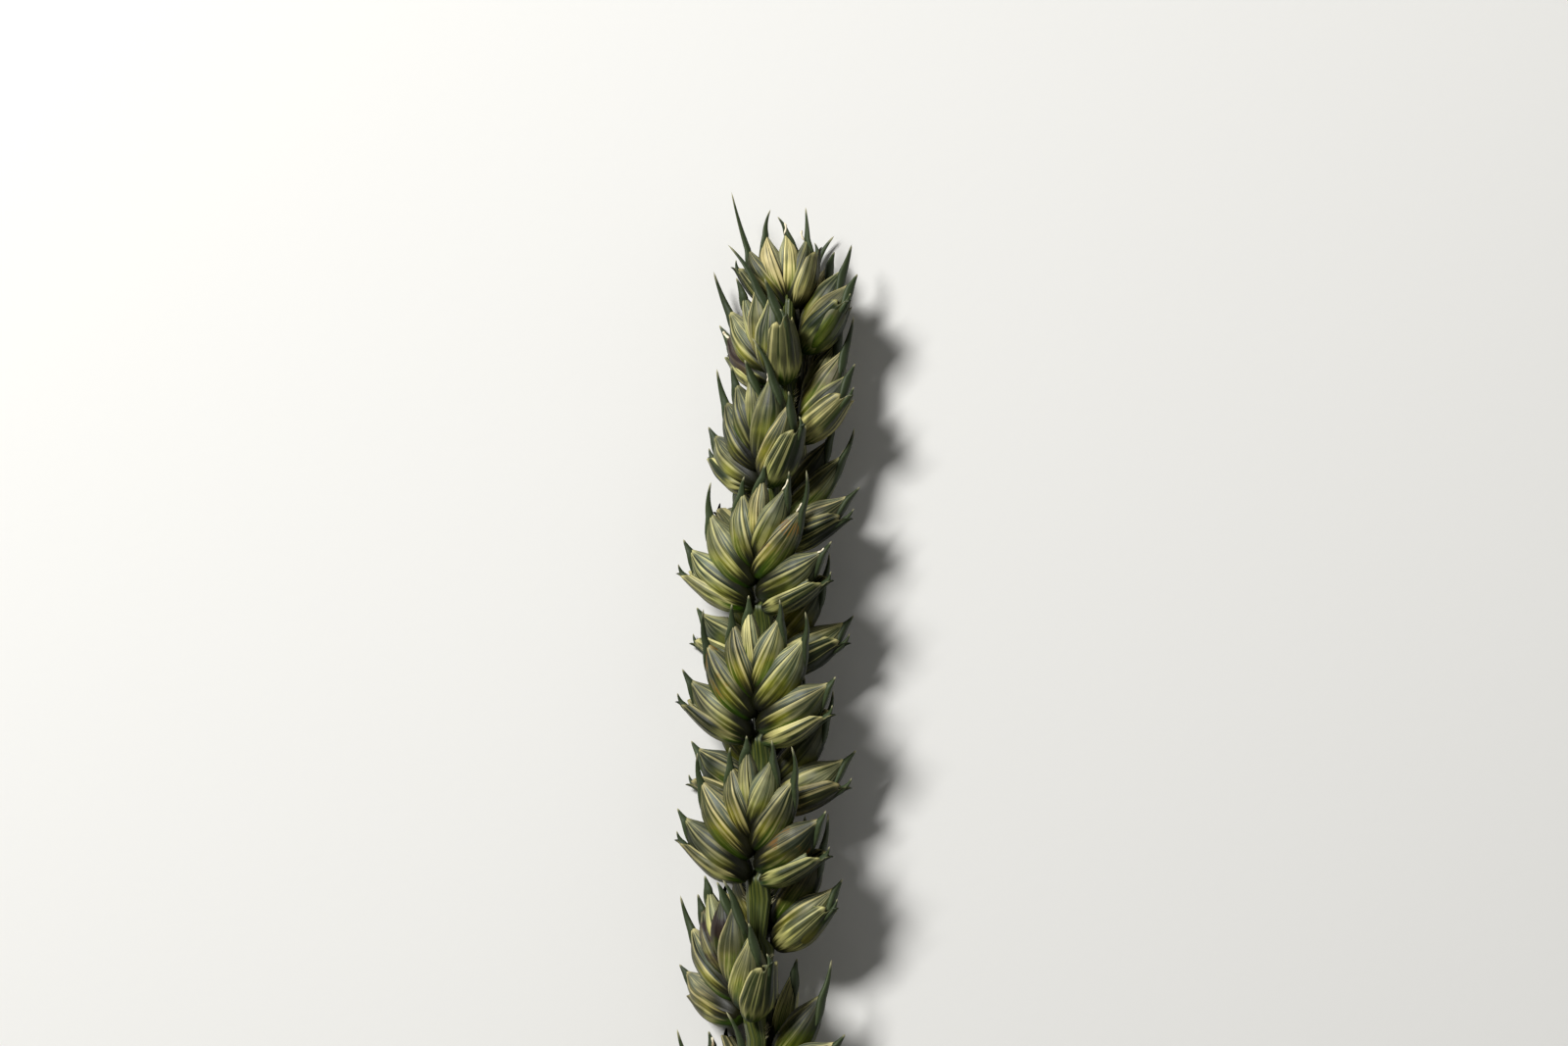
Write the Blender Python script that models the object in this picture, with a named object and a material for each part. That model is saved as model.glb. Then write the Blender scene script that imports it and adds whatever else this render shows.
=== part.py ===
"""Wheat ear, as picked and laid on a table: a zigzag rachis on a short cut straw, with spikelets in two rows.

Run it with: blender --background --python part.py
The table is Z = 0. The ear lies along Y with its tip at +Y, and its front row of spikelets faces up.
Every spikelet is first shaped in its own flat fan, then leaned off the rachis, and the whole ear is
twisted, bowed and settled on the table by formulas that move points without folding one past another.
"""

import math
import random
from collections import namedtuple

import bmesh
import bpy
from mathutils import Matrix, Vector

MM = 0.001
SEED = 11

# Rachis, counted down from the tip spikelet
SPIKELETS = 18
SWELL_PLACES = 21
LONGEST_INTERNODE = 6.1 * MM
SHORTEST_SHARE = 0.42
RACHIS_HALF_WIDTH = 1.15 * MM
RACHIS_HALF_DEPTH = 0.55 * MM
ZIGZAG = 0.3 * MM
LEDGE = 1.5 * MM
LEDGE_HEIGHT = 0.5 * MM
RACHIS_SIDES = 6

# Straw below the lowest spikelet
STRAW_LENGTH = 34 * MM
STRAW_RADIUS = 1.25 * MM
STRAW_TOP_RADIUS = 1.0 * MM
LUMEN_RADIUS = 0.65 * MM
LUMEN_DEPTH = 2.5 * MM

# Fan of one spikelet
BASE_OUT = 1.45 * MM
FAN_LEAN = math.radians(13)
TIP_LEAN = math.radians(5)
GLUME_LENGTH = 6.4 * MM
LEMMA_LENGTH = 8.3 * MM
RACHILLA_STEP = 0.86 * MM
WIDE_ANGLE = 49.0
TIP_NARROWING = 15.0
TURNED_ROLL = 0.38
FRONT_ROLL = math.radians(4.4)
GLUME_OPENING = 1.15
GLUME_ROOT = 0.6 * MM
CLOSED_GLUME_ROOT = 1.4 * MM
PAIR_ROOT = (0.25 * MM, 0.1 * MM, 0.0, 0.0)
PAIR_ANGLE = (1.0, 0.6, 0.26, 0.0)
PAIR_LENGTH = (0.93, 0.93, 0.83, 0.79)
PAIR_DEPTH = (4.1, 3.8, 3.3, 2.2)
PAIR_WIDTH = (3.3, 3.1, 2.8, 2.0)
PAIR_AWN = (0.32, 1.0, 0.5, 0.35)
PAIR_AWN_TURN = (4, 20, 10, 0)
TIP_PAIR_ANGLE = (0.92, 0.2)
TIP_SLIMNESS = 0.8
TIP_PAIR_AWN = (0.95, 0.45)
TIP_GLUME_OPENING = (1.5, 1.05)
TURNED_CLOSING = 0.44
ODD_SPREAD = {1: -4.0, 3: -2.0, 5: 7.0, 6: 2.0, 7: 3.0, 9: 5.0, 11: -8.0, 13: 3.0}
ODD_DROP = {1: 0.7 * MM, 3: 0.5 * MM, 5: 0.1 * MM}

# Husk cross-sections
HUSK_SIDES = 6
LEMMA_STATIONS = (0.0, 0.11, 0.37, 0.74, 1.0)
SMALL_STATIONS = (0.0, 0.2, 0.64, 1.0)

# Whole ear
BASE_TURN = math.radians(20)
TIP_TURN = math.radians(38)
LOCAL_TURN = math.radians(31)
FOOT_TURN = math.radians(36)
BOW = 0.75 * MM
TOP_SHIFT = 2.1 * MM
TOP_SHIFT_FROM = 0.74
TOP_SHIFT_TO = 0.93
AXIS_HEIGHT = 5.25 * MM
TIP_SINKING = 1.0 * MM
TABLE_REACH = 2.0 * MM
PRESSED = 2.6 * MM

Husk = namedtuple("Husk", "stations side root foot start_angle end_angle length depth width blunt keel awn awn_turn")
Spikelet = namedtuple("Spikelet", "number row height turn size lean spread roll florets step plane awn near")


def internode(from_tip):
    """Length of rachis below the spikelet that is from_tip places from the tip one."""
    swell = math.sin(math.pi * (from_tip + 0.6) / SWELL_PLACES) ** 0.8
    return LONGEST_INTERNODE * (SHORTEST_SHARE + (1 - SHORTEST_SHARE) * swell)


RACHIS_LENGTH = sum(internode(place) for place in range(SPIKELETS - 1))


def fade(distance, reach, power=2):
    return math.exp(-(abs(distance / reach) ** power))


def turn_at(y):
    """How far the front row has turned to the left of straight up, at height y on the rachis."""
    below_tip = RACHIS_LENGTH - y
    tip = TIP_TURN * fade(below_tip, 20.5 * MM, 4)
    return BASE_TURN + tip + LOCAL_TURN * fade(below_tip - 60.5 * MM, 7 * MM) + FOOT_TURN * fade(y, 22 * MM, 4)


def settle(z):
    """Points near or under the table are pressed smoothly up towards its surface."""
    if z > TABLE_REACH:
        return z
    room = TABLE_REACH + PRESSED
    return room * math.exp((z - TABLE_REACH) / room) - PRESSED


def bow(along):
    """The ear bows to its right, most of all below its tip."""
    up = max(0.0, along / RACHIS_LENGTH)
    share = min(1.0, max(0.0, (up - TOP_SHIFT_FROM) / (TOP_SHIFT_TO - TOP_SHIFT_FROM)))
    return BOW * min(1.0, up) + TOP_SHIFT * share ** 2 * (3 - 2 * share)


def on_table(point, turn):
    """From the straight ear (across the fan, along the rachis, out from the front row) to where it lies."""
    across, along, out = point
    x = across * math.cos(turn) - out * math.sin(turn) + bow(along)
    sinking = TIP_SINKING * max(0.0, along / RACHIS_LENGTH) ** 2
    z = across * math.sin(turn) + out * math.cos(turn) + AXIS_HEIGHT - sinking
    return Vector((x, along, settle(z)))


def spikelets():
    """Where each spikelet sits and how it is opened, from the tip down."""
    height = RACHIS_LENGTH
    for place in range(SPIKELETS):
        below_tip = RACHIS_LENGTH - height
        above_base = SPIKELETS - 1 - place
        row = 1 if place % 2 == 0 else -1
        size = (1 - 0.42 * math.exp(-above_base / 0.9)) * (1 - 0.06 * fade(below_tip, 17 * MM))
        lean = FAN_LEAN + TIP_LEAN * fade(below_tip, 14 * MM) * (1 if row > 0 else 1.6)
        spread = WIDE_ANGLE - TIP_NARROWING * fade(below_tip, 19 * MM) + ODD_SPREAD.get(place, 0.0)
        turn = turn_at(height)
        roll = (FRONT_ROLL + TURNED_ROLL * (BASE_TURN - turn)) * (row > 0)
        florets = min(2 + above_base, 7 if 4 < place < 13 and row > 0 else 6 if 2 < place < 13 else 5)
        step = RACHILLA_STEP * (1 - 0.42 * fade(below_tip, 17 * MM))
        awn = (2.8 + 1.6 * fade(below_tip, 14 * MM) * (row > 0)) * MM
        plane = 0.0
        if place == 0:
            size, lean, spread, roll, plane = 0.8, 0.0, 20.0, math.radians(-8.5), math.radians(-54)
            florets, step = 4, 0.3 * MM
        yield Spikelet(place, row, height - ODD_DROP.get(place, 0.0), turn, size, lean, spread, roll, florets, step, plane, awn,
                       1 - 0.35 * fade(below_tip, 17 * MM))
        height -= internode(place)


def husks(spikelet, draw):
    """The two glumes and the florets of one spikelet, in pairs that stand closer to its middle going up."""
    size = spikelet.size
    closing = 1 - TURNED_CLOSING * (spikelet.turn - BASE_TURN) / TIP_TURN * (spikelet.number > 0)
    open_by = {-1: spikelet.spread, 1: spikelet.spread * closing}
    found = []
    terminal = spikelet.number == 0
    for side in (-1, 1):
        opening = (TIP_GLUME_OPENING[side > 0] if terminal else GLUME_OPENING) - 1
        angle = open_by[side] + spikelet.spread * opening + draw.uniform(-2, 2)
        root = (GLUME_ROOT + CLOSED_GLUME_ROOT * (1 - closing) * (side > 0)) * size
        found.append(Husk(SMALL_STATIONS, side, root, 0.3 * MM * size, angle + 10, angle - 9,
                          GLUME_LENGTH * size, 2.7 * MM * size, 3.5 * MM * size, 0.56, 0.3, 0.9 * MM * size, 8))
    for floret in range(spikelet.florets):
        side = 1 if floret % 2 else -1
        last = floret == spikelet.florets - 1
        pair = 3 if last and floret > 3 else floret // 2
        angle = open_by[side] * (TIP_PAIR_ANGLE if terminal else PAIR_ANGLE)[pair] + draw.uniform(-2.5, 2.5)
        curl = (10, 8, 5, 3)[pair]
        shrink = size * draw.uniform(0.96, 1.04)
        foot = (0.6 * MM + spikelet.step * floret) * size
        awn, plump = spikelet.awn * PAIR_AWN[pair], shrink
        if terminal:
            awn = spikelet.awn * TIP_PAIR_AWN[pair] * (0.6 if side > 0 else 1.2)
            plump = shrink * TIP_SLIMNESS
        stations = LEMMA_STATIONS if pair < 2 else SMALL_STATIONS
        found.append(Husk(stations, side, PAIR_ROOT[pair] * size, foot, angle + curl, angle - curl,
                          LEMMA_LENGTH * PAIR_LENGTH[pair] * shrink, PAIR_DEPTH[pair] * MM * plump,
                          PAIR_WIDTH[pair] * MM * plump, 0.3, 0.18, awn * draw.uniform(0.8, 1.2), PAIR_AWN_TURN[pair]))
    return found


def swelling(along, blunt):
    """Share of a husk's full cross-section, from its narrow foot to its tip, which is blunt by that share."""
    plump = math.sin(math.pi * (0.05 + 0.88 * along ** 0.8)) ** 0.8
    return plump + (blunt - 0.3) * along ** 4


def husk_point(husk, row, around):
    """A point of a husk, whose middle is an arc, in its fan: across, up the rachilla, and out of the fan."""
    tip = row >= len(husk.stations)
    along = 1.0 if tip else husk.stations[row]
    start, turned = math.radians(husk.start_angle), math.radians(husk.end_angle - husk.start_angle)
    angle = start + turned * along
    across = (math.cos(start) - math.cos(angle)) / turned * husk.length
    up = (math.sin(angle) - math.sin(start)) / turned * husk.length
    place = Vector((husk.side * (husk.root + across), husk.foot + up, 0))
    back = Vector((husk.side * math.cos(angle), -math.sin(angle), 0))
    if tip:
        place += back * husk.depth * husk.keel
        angle -= math.radians(husk.awn_turn)
        return place + Vector((husk.side * math.sin(angle), math.cos(angle), 0.1)) * husk.awn
    if row == 0:
        return place
    place += back * husk.depth * min(husk.keel, 0.18) * along ** 4
    swell = swelling(along, husk.blunt)
    deep = math.cos(around) * (1.0 if math.cos(around) > 0 else 0.8)
    return place + (back * deep * husk.depth + Vector((0, 0, 1)) * math.sin(around) * husk.width) * swell / 2


def fan_to_ear(point, spikelet):
    """From a spikelet's own fan to the straight ear."""
    across, up, out = point
    roll, lean, plane = spikelet.roll, spikelet.lean, spikelet.plane
    across, up = across * math.cos(roll) + up * math.sin(roll), up * math.cos(roll) - across * math.sin(roll)
    if plane:
        across, out = across * math.cos(plane) - out * math.sin(plane), across * math.sin(plane) + out * math.cos(plane)
        return across, spikelet.height + up, out
    along = up * math.cos(lean) - out * math.sin(lean)
    off = BASE_OUT * spikelet.near + up * math.sin(lean) + out * math.cos(lean)
    return spikelet.row * across, spikelet.height + along, spikelet.row * off


def solid(name, mesh, collection):
    mesh.normal_update()
    bmesh.ops.recalc_face_normals(mesh, faces=mesh.faces)
    data = bpy.data.meshes.new(name)
    mesh.to_mesh(data)
    mesh.free()
    made = bpy.data.objects.new(name, data)
    collection.objects.link(made)
    return made


def husk_solid(name, husk, spikelet, collection):
    """A husk is a coarse ball whose rows are strung along its length and whose last row is the awn's tip."""
    rows = len(husk.stations)
    mesh = bmesh.new()
    bmesh.ops.create_uvsphere(mesh, u_segments=HUSK_SIDES, v_segments=rows, radius=1)
    for vertex in mesh.verts:
        row = round(rows * math.acos(max(-1.0, min(1.0, -vertex.co.z))) / math.pi)
        around = math.atan2(vertex.co.y, vertex.co.x)
        vertex.co = on_table(fan_to_ear(husk_point(husk, row, around), spikelet), spikelet.turn)
    return solid(name, mesh, collection)


def core_solid(name, spikelet, collection):
    """The rachilla with the packed feet of the florets round it."""
    mesh = bmesh.new()
    bmesh.ops.create_uvsphere(mesh, u_segments=HUSK_SIDES, v_segments=3, radius=1)
    length = (0.8 + 0.37 * spikelet.florets) * MM * spikelet.size
    for vertex in mesh.verts:
        across, out, up = vertex.co
        place = (across * 1.1 * MM, (up + 1) * length, out * 0.85 * MM)
        vertex.co = on_table(fan_to_ear(place, spikelet), spikelet.turn)
    return solid(name, mesh, collection)


def apply_boolean(target, operation, operand, solver="EXACT"):
    modifier = target.modifiers.new(operation.lower(), "BOOLEAN")
    modifier.operation = operation
    modifier.solver = solver
    if isinstance(operand, bpy.types.Collection):
        modifier.operand_type = "COLLECTION"
        modifier.collection = operand
    else:
        modifier.object = operand
    graph = bpy.context.evaluated_depsgraph_get()
    data = bpy.data.meshes.new_from_object(target.evaluated_get(graph))
    target.modifiers.clear()
    target.data = data


def keep_outer_skin(target):
    """Fills sealed hollows between husks and drops loose scraps: only the largest shell of faces stays."""
    mesh = bmesh.new()
    mesh.from_mesh(target.data)
    waiting, shells = set(mesh.faces), []
    while waiting:
        front = [waiting.pop()]
        shell = list(front)
        while front:
            near = {other for edge in front.pop().edges for other in edge.link_faces} & waiting
            waiting -= near
            front.extend(near)
            shell.extend(near)
        shells.append(shell)
    shells.sort(key=len)
    for shell in shells[:-1]:
        bmesh.ops.delete(mesh, geom=shell, context="FACES")
    mesh.to_mesh(target.data)
    mesh.free()


def rachis_stations():
    """(height, middle off the axis, half depth, half width) of each ring, from the cut end up."""
    yield LUMEN_DEPTH - STRAW_LENGTH, 0.0, LUMEN_RADIUS, LUMEN_RADIUS
    yield -STRAW_LENGTH, 0.0, LUMEN_RADIUS, LUMEN_RADIUS
    yield -STRAW_LENGTH, 0.0, STRAW_RADIUS, STRAW_RADIUS
    yield -STRAW_LENGTH / 2, 0.0, STRAW_RADIUS, STRAW_RADIUS
    yield -3 * MM, 0.0, STRAW_TOP_RADIUS, STRAW_TOP_RADIUS
    for spikelet in reversed(list(spikelets())):
        if spikelet.number == 0:
            yield spikelet.height + 1.5 * MM, 0.0, RACHIS_HALF_DEPTH, RACHIS_HALF_DEPTH
            continue
        near = spikelet.row * (LEDGE - RACHIS_HALF_DEPTH) / 2
        deep = (LEDGE + RACHIS_HALF_DEPTH) / 2
        yield spikelet.height - 1.4 * MM, near / 2, RACHIS_HALF_DEPTH * 1.2, RACHIS_HALF_WIDTH
        yield spikelet.height + LEDGE_HEIGHT, near, deep, RACHIS_HALF_WIDTH * 0.9
        yield spikelet.height + 1.2 * MM, -spikelet.row * ZIGZAG, RACHIS_HALF_DEPTH, RACHIS_HALF_WIDTH * 0.7


def rachis_solid(ear):
    """Rings bridged one to the next, from the cut end of the straw up to the tip spikelet."""
    mesh = bmesh.new()
    stations = list(rachis_stations())
    below = None
    for number, (height, middle, half_depth, half_width) in enumerate(stations):
        capped = number in (0, len(stations) - 1)
        ring = bmesh.ops.create_circle(mesh, cap_ends=capped, segments=RACHIS_SIDES, radius=1)["verts"]
        edges = list({edge for vertex in ring for edge in vertex.link_edges})
        for vertex in ring:
            across, out, _ = vertex.co
            vertex.co = on_table((half_width * across, height, middle + half_depth * out), turn_at(height))
        if below:
            bmesh.ops.bridge_loops(mesh, edges=below + edges)
        below = edges
    return solid("wheat_ear", mesh, ear)


def table_block(helpers):
    """Everything under the table's surface, so that what presses on it ends in small flats."""
    mesh = bmesh.new()
    bmesh.ops.create_cube(mesh, size=0.3)
    bmesh.ops.translate(mesh, verts=mesh.verts, vec=(0, 0.03, -0.15))
    made = solid("table", mesh, helpers)
    made.hide_render = True
    made.display_type = "WIRE"
    return made


def husk_green(name, colour, roughness):
    material = bpy.data.materials.new(name)
    material.use_nodes = True
    shader = material.node_tree.nodes["Principled BSDF"]
    shader.inputs["Base Color"].default_value = (*colour, 1)
    shader.inputs["Roughness"].default_value = roughness
    material.diffuse_color = (*colour, 1)
    return material


def centre_on_table(made):
    """Moves the mesh so that the origin is under the middle of the ear's box, on the table."""
    corners = [vertex.co for vertex in made.data.vertices]
    middle = [(min(co[axis] for co in corners) + max(co[axis] for co in corners)) / 2 for axis in (0, 1)]
    made.data.transform(Matrix.Translation((-middle[0], -middle[1], 0)))


def main():
    for old in list(bpy.data.objects):
        bpy.data.objects.remove(old)
    scene = bpy.context.scene.collection
    ear, pieces, helpers = (bpy.data.collections.new(name) for name in ("ear", "husks", "cutters"))
    for collection in (ear, pieces, helpers):
        scene.children.link(collection)
    draw = random.Random(SEED)
    made = rachis_solid(ear)
    for spikelet in spikelets():
        core_solid(f"core_{spikelet.number}", spikelet, pieces)
        for number, husk in enumerate(husks(spikelet, draw)):
            husk_solid(f"husk_{spikelet.number}_{number}", husk, spikelet, pieces)
    apply_boolean(made, "UNION", pieces, "MANIFOLD")
    for piece in list(pieces.objects):
        bpy.data.objects.remove(piece)
    apply_boolean(made, "DIFFERENCE", table_block(helpers), "MANIFOLD")
    keep_outer_skin(made)
    centre_on_table(made)
    made.data.materials.clear()
    made.data.materials.append(husk_green("ear_green", (0.31, 0.36, 0.15), 0.55))


main()
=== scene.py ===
"""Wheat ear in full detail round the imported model: lemmas with nerves and pale margins, paleas, awnlets, ribbed
glumes, withered anthers, and a ribbed, hairy rachis on a cut straw.

The ear lies on the floor Z = 0 with its tip at +Y and its front row of spikelets facing up.
Its layout repeats the model's own formulas and draws, so each husk lies where its solid does.
"""

import math
import random
from collections import namedtuple

import bmesh
import bpy
from bpy.props import FloatProperty, FloatVectorProperty, IntProperty, PointerProperty
from bpy.types import Operator, Panel, PropertyGroup
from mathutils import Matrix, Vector, noise


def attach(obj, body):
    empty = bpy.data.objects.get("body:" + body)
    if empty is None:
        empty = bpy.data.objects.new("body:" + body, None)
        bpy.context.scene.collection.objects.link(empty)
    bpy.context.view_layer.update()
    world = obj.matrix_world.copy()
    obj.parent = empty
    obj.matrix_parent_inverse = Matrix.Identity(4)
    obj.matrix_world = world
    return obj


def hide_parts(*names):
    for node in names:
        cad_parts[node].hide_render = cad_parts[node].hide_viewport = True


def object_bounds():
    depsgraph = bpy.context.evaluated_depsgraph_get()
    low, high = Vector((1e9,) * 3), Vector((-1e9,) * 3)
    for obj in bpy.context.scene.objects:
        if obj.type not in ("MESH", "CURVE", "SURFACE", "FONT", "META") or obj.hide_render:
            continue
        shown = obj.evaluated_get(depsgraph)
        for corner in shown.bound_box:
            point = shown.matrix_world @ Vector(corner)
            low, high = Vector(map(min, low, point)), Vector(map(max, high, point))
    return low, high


bl_info = {
    "name": "Wheat Ear",
    "version": (1, 0, 0),
    "blender": (4, 5, 0),
    "location": "3D View > Sidebar > Wheat Ear",
    "description": "Models a picked green wheat ear, husk by husk, round its packed model",
    "category": "Add Mesh",
}

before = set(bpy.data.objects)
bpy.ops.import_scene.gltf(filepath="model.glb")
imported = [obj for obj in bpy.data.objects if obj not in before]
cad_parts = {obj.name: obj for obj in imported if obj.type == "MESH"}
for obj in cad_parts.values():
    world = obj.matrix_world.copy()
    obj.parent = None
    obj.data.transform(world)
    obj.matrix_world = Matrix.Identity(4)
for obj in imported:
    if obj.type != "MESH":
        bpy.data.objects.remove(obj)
cad_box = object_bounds()

MM = 0.001
SEED = 11
NODE = "wheat_ear"
UP = Vector((0, 0, 1))

# Rachis and straw, as in the model
SPIKELETS = 18
SWELL_PLACES = 21
SWELL_START = 0.6
SWELL_POWER = 0.8
LONGEST_INTERNODE = 6.1 * MM
SHORTEST_SHARE = 0.42
RACHIS_HALF_WIDTH = 1.15 * MM
RACHIS_HALF_DEPTH = 0.55 * MM
ZIGZAG = 0.3 * MM
LEDGE = 1.5 * MM
LEDGE_HEIGHT = 0.5 * MM
STRAW_LENGTH = 34 * MM
STRAW_RADIUS = 1.25 * MM
STRAW_TOP_RADIUS = 1.0 * MM
LUMEN_RADIUS = 0.65 * MM
LUMEN_DEPTH = 2.5 * MM

# Spikelets, as in the model: the lowest are stunted, and those near the tip are smaller and closer
FOOT_STUNTING = 0.42
FOOT_STUNTING_REACH = 0.9
TIP_SHRINKING = 0.06
TIP_REACH = 17 * MM
TIP_CLOSER = 0.35
TIP_STEP_SHRINKING = 0.42
LEAN_REACH = 14 * MM
BACK_ROW_LEAN = 1.6
SPREAD_REACH = 19 * MM
LONGER_TIP_AWN = 1.6 * MM
TERMINAL_SIZE = 0.8
TERMINAL_SPREAD = 20.0
TERMINAL_ROLL = math.radians(-8.5)
TERMINAL_PLANE = math.radians(-54)
TERMINAL_FLORETS = 4
TERMINAL_STEP = 0.3 * MM

# Fan of one spikelet, as in the model
BASE_OUT = 1.45 * MM
FAN_LEAN = math.radians(13)
TIP_LEAN = math.radians(5)
RACHILLA_STEP = 0.86 * MM
WIDE_ANGLE = 49.0
TIP_NARROWING = 15.0
TURNED_ROLL = 0.38
FRONT_ROLL = math.radians(4.4)
GLUME_OPENING = 1.15
GLUME_ROOT = 0.6 * MM
CLOSED_GLUME_ROOT = 1.4 * MM
GLUME_FOOT = 0.3 * MM
GLUME_ANGLES = (10, -9)
GLUME_JITTER = 2
GLUME_DEPTH = 2.7 * MM
GLUME_WIDTH = 3.5 * MM
GLUME_BLUNTNESS = 0.56
GLUME_KEEL = 0.3
TOOTH = 0.9 * MM
TOOTH_TURN = 8
LEMMA_BLUNTNESS = 0.3
LEMMA_KEEL = 0.18
LEMMA_JITTER = 2.5
LEMMA_SIZES = (0.96, 1.04)
LEMMA_FOOT = 0.6 * MM
AWN_SIZES = (0.8, 1.2)
PAIR_ROOT = (0.25 * MM, 0.1 * MM, 0.0, 0.0)
PAIR_ANGLE = (1.0, 0.6, 0.26, 0.0)
PAIR_LENGTH = (0.93, 0.93, 0.83, 0.79)
PAIR_DEPTH = (4.1, 3.8, 3.3, 2.2)
PAIR_WIDTH = (3.3, 3.1, 2.8, 2.0)
PAIR_AWN = (0.32, 1.0, 0.5, 0.35)
PAIR_AWN_TURN = (4, 20, 10, 0)
PAIR_CURL = (10, 8, 5, 3)
TIP_PAIR_ANGLE = (0.92, 0.2)
TIP_SLIMNESS = 0.8
TIP_GLUME_OPENING = (1.5, 1.05)
TIP_PAIR_AWN = (0.95, 0.45)
TIP_SIDE_AWN = {-1: 1.2, 1: 0.6}
TURNED_CLOSING = 0.44
ODD_SPREAD = {1: -4.0, 3: -2.0, 5: 7.0, 6: 2.0, 7: 3.0, 9: 5.0, 11: -8.0, 13: 3.0}
ODD_DROP = {1: 0.7 * MM, 3: 0.5 * MM, 5: 0.1 * MM}

# Whole ear, as in the model
BASE_TURN = math.radians(20)
TIP_TURN = math.radians(38)
TIP_TURN_REACH = 20.5 * MM
LOCAL_TURN = math.radians(31)
LOCAL_TURN_BELOW_TIP = 60.5 * MM
LOCAL_TURN_REACH = 7 * MM
FOOT_TURN = math.radians(36)
FOOT_TURN_REACH = 22 * MM
BOW = 0.75 * MM
TOP_SHIFT = 2.1 * MM
TOP_SHIFT_FROM = 0.74
TOP_SHIFT_TO = 0.93
TIP_SINKING = 1.0 * MM
AXIS_HEIGHT = 5.25 * MM
TABLE_REACH = 2.0 * MM
PRESSED = 2.6 * MM

# Mesh of one husk: columns from its keel round to the middle of its inner face, mirrored, and rows up it
MARGIN_COLUMN = 20
HALF_COLUMNS = 28
LEMMA_ROWS = 30
GLUME_ROWS = 26
GLUME_INNER_ROWS = 5
NERVE_SPACING = 5
HORN_SIDES = 12
HORN_ROWS = 16

# Rachis and straw: columns round them, and ribs
RACHIS_SIDES = 44
RACHIS_RIBS = 11

# Surface of a husk: angle from keel to margin at its foot and tip, in degrees, for a glume (True) or a lemma
FOOT_MARGIN = {True: 138, False: 124}
TIP_MARGIN = {True: 102, False: 84}
FOOT_MARGIN_JITTER = 8
TIP_MARGIN_JITTER = 9
UNEVEN_PATCH = 2.2 * MM

# Awnlet or tooth: radius for a glume (True) or a lemma, and how deep and for what share it stays in the husk
HORN_RADIUS = {True: 0.34 * MM, False: 0.45 * MM}
HORN_SUNK = 0.12 * MM
HORN_ROOTED = 0.35

# Husks that stand out in the photograph: (spikelet, floret) with purple-brown or orange spots, and dry pale ones
BLOTCHED = {(2, 0), (12, 4), (12, 5), (13, 1)}
RUSTY = {(1, 1), (6, 3), (8, 2), (10, 1)}
TIP_DRYNESS = (0.1, 0.1, 1.0, 0.85)
CENTRE_DRYNESS = 0.7

# Exponent that deepens the husks' colours and leaves their pale lines pale
DEEPENING = 1.35

# Rachis hairs and withered anthers
HAIRS = 26
HAIR_RADIUS = 0.022 * MM
HAIR_TIP_RADIUS = 0.006 * MM
ANTHER_AT = 0.93
ANTHER_OUT = 0.2 * MM
ANTHER_SUNK = 0.15 * MM
ANTHER_DEPTH = 0.11
ANTHER_WIDTH = 0.14

# Photograph's framing
PHOTO_WIDTH = 1600
PIXEL = 0.085 * MM
STRAW_PIXEL = 771.5
RACHIS_TOP_PIXEL = 318
MIDDLE_PIXEL = (800, 533.5)
LENS = 100
SENSOR = 36

# Stage: half the floor's side and its gap under the ear, and each light's name, place, side and watts
FLOOR_SIZE = 1.5
FLOOR_GAP = 0.02 * MM
LIGHTS = (("key light", (-0.34, 0.32, 0.46), 0.15, 6.5),
          ("fill light", (0.55, -0.1, 0.45), 0.6, 0.5),
          ("low light", (-0.2, -0.6, 0.4), 0.5, 0.3))
WORLD_COLOUR = "#eeeeec"
WORLD_STRENGTH = 0.085

Husk = namedtuple("Husk", "glume side root foot start_angle end_angle length depth width blunt keel awn awn_turn")
Spikelet = namedtuple("Spikelet", "number row height turn size lean spread roll florets step plane awn near")


def linear(hex_colour):
    """Linear colour of an sRGB hex value such as #8a9a4c."""
    shares = [int(hex_colour[start:start + 2], 16) / 255 for start in (1, 3, 5)]
    return tuple(share / 12.92 if share <= 0.04045 else ((share + 0.055) / 1.055) ** 2.4 for share in shares)


def colour(name, description, hex_colour):
    return FloatVectorProperty(name=name, description=description, subtype="COLOR", size=3, min=0, max=1,
                               default=linear(hex_colour))


def length(name, description, default):
    return FloatProperty(name=name, description=description, default=default, min=0, unit="LENGTH", precision=5)


class WheatEarSizes(PropertyGroup):
    lemma: length("Lemma", "Length of the lowest floret's lemma, without its awnlet", 8.3 * MM)
    glume: length("Glume", "Length of a glume, without its tooth", 6.55 * MM)
    awnlet: length("Awnlet", "Length of the longest awnlets in the middle of the ear", 2.8 * MM)
    nerve: length("Nerve height", "How far a nerve stands out of a lemma", 0.05 * MM)
    margin: length("Margin step", "How far a lemma's edge stands over its palea", 0.13 * MM)
    unevenness: length("Unevenness", "How far a husk's surface swells and sinks", 0.12 * MM)
    hair: length("Hair", "Length of the longest hairs on the edges of the rachis", 0.7 * MM)
    rib: length("Straw rib", "Height of the ribs of the straw and the rachis", 0.035 * MM)
    anthers: IntProperty(name="Withered anthers", description="How many anthers still hang from florets",
                         default=22, min=0)


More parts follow.
